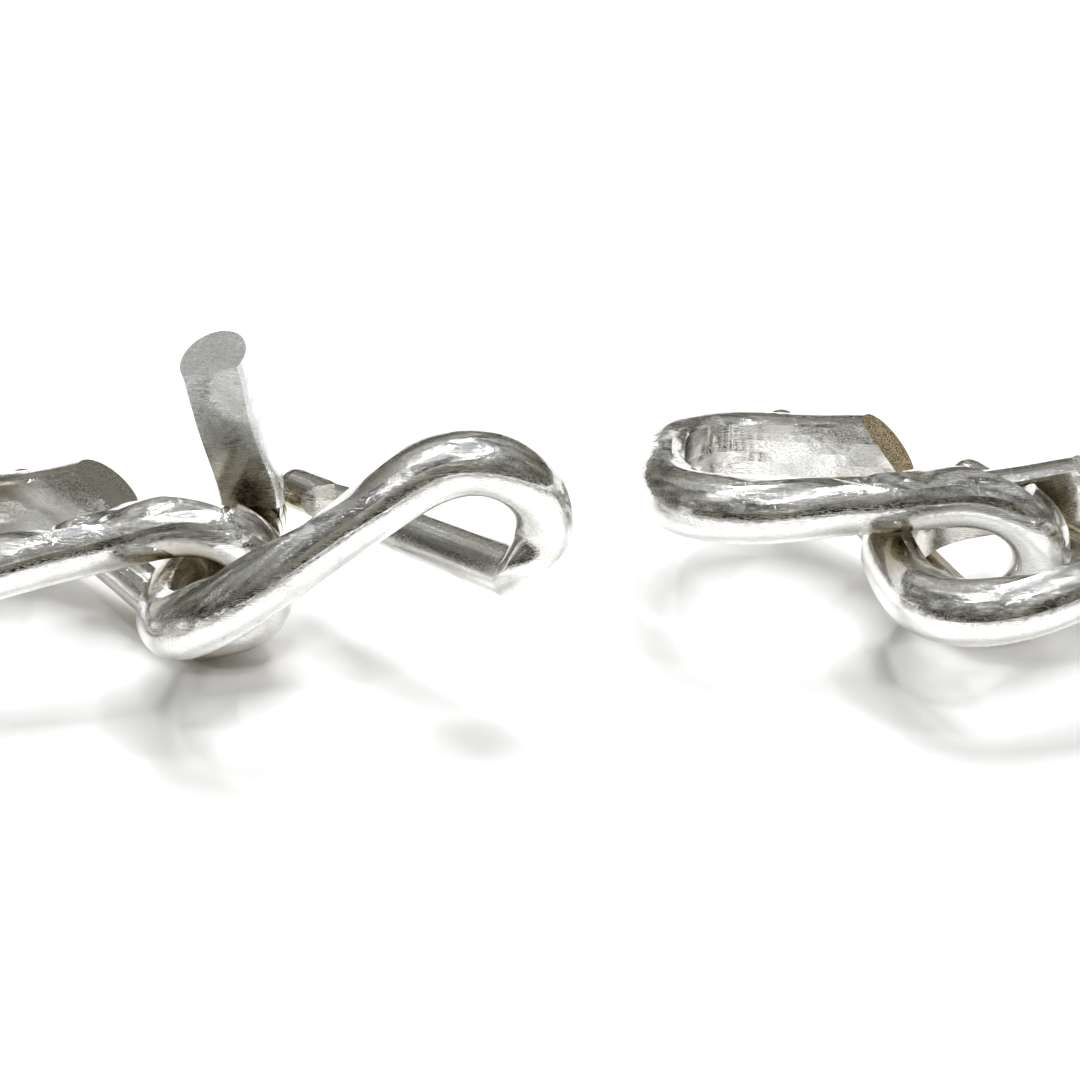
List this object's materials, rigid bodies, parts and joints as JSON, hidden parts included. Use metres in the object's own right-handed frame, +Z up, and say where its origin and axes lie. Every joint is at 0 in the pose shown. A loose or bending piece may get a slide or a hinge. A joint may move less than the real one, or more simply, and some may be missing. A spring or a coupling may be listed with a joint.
{
  "type": "link bracelet",
  "caption": "Heavy curb-style bracelet of bent half-round bar links, each with a hooked turn and a round soldered tail, and a hinged lever clasp, lying open on a table",
  "frame": {"origin": "the middle of the bracelet's bounding box, at table height", "axes": "+Z up, +X to the right and +Y away as the picture looks at it"},
  "size_m": [0.0814, 0.0638, 0.0137],
  "materials": {
    "silver": "polished",
    "pin": "satin"
  },
  "bodies": {
    "chain": {"link_01": "silver", "link_02": "silver", "link_03": "silver", "link_04": "silver", "link_05": "silver", "link_06": "silver", "link_07": "silver", "link_08": "silver", "link_09": "silver", "link_10": "silver", "link_11": "silver", "link_12": "silver", "link_13": "silver", "link_14": "silver", "link_15": "silver", "link_16": "silver", "clasp_link": "silver", "hinge_pin": "pin"},
    "lever": {"clasp_lever": "silver"}
  },
  "joints": [
    {"name": "lever_hinge", "type": "hinge", "parent": "chain", "child": "lever", "pos_m": [-0.02001, 0.02372, 0.00464], "axis": [0.0926, 0.972, -0.2159], "range_deg": [-6, 57]}
  ]
}
